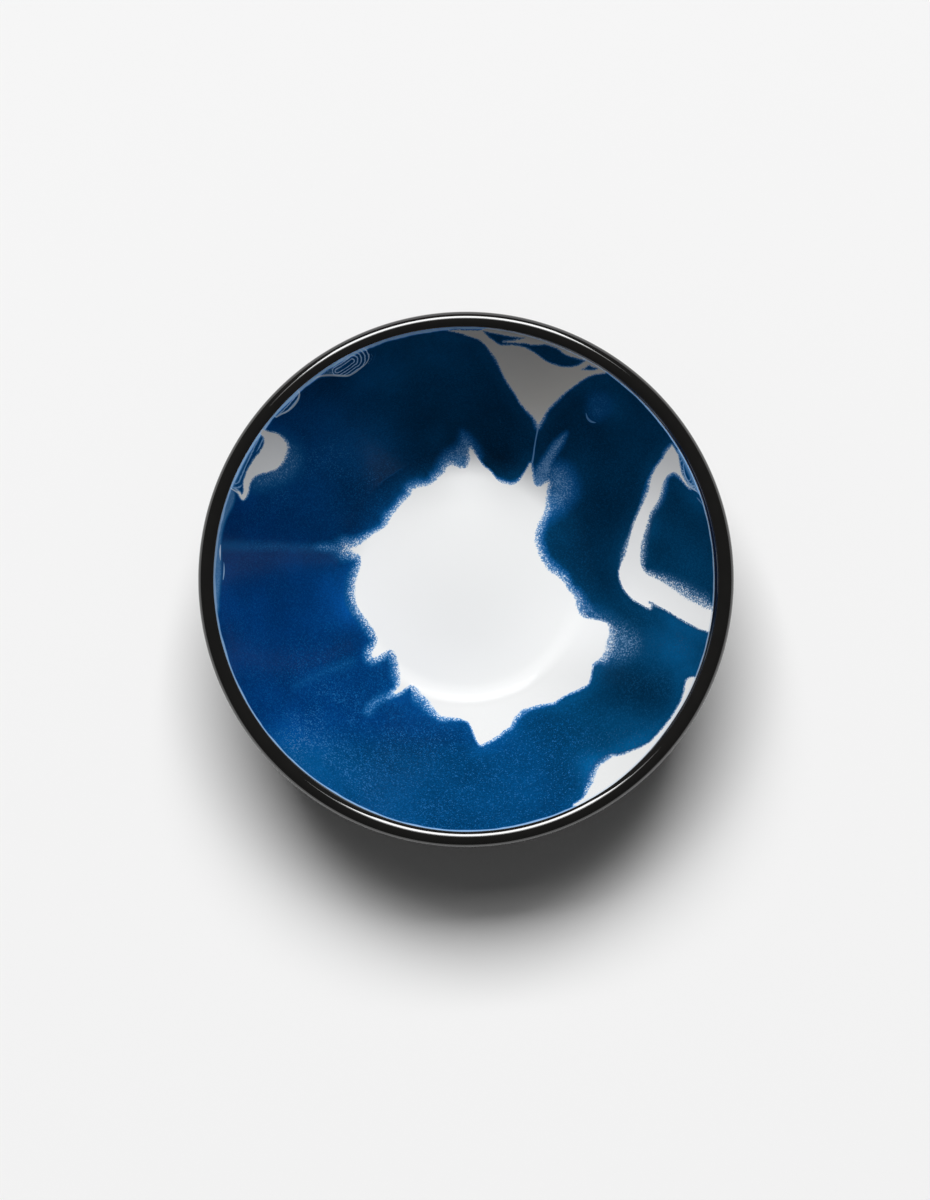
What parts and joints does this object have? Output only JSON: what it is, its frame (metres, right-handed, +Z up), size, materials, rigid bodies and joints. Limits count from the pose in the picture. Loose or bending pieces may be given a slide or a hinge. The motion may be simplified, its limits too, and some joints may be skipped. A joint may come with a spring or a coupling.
{
  "type": "soup bowl",
  "caption": "Round enamelled steel soup bowl with a flat well, a flared wall and a rolled rim edged in black.",
  "frame": {"origin": "middle of the flat ring that the bowl stands on, in the plane of the table", "axes": "+Z up along the bowl's axis; the bowl is round, and +Y is the top of the picture"},
  "size_m": [0.18, 0.18, 0.046],
  "materials": {
    "bare_steel": "pressed low-carbon sheet, hidden under the enamel",
    "marbled_enamel": "glossy white enamel with poured deep blue marbling",
    "black_enamel": "glossy black enamel",
    "edging_enamel": "glossy black enamel edging, applied by hand"
  },
  "bodies": {
    "root": {"steel_shell": "bare_steel", "inside_coat": "marbled_enamel", "outside_coat": "black_enamel", "rim_coat": "edging_enamel"}
  },
  "joints": []
}
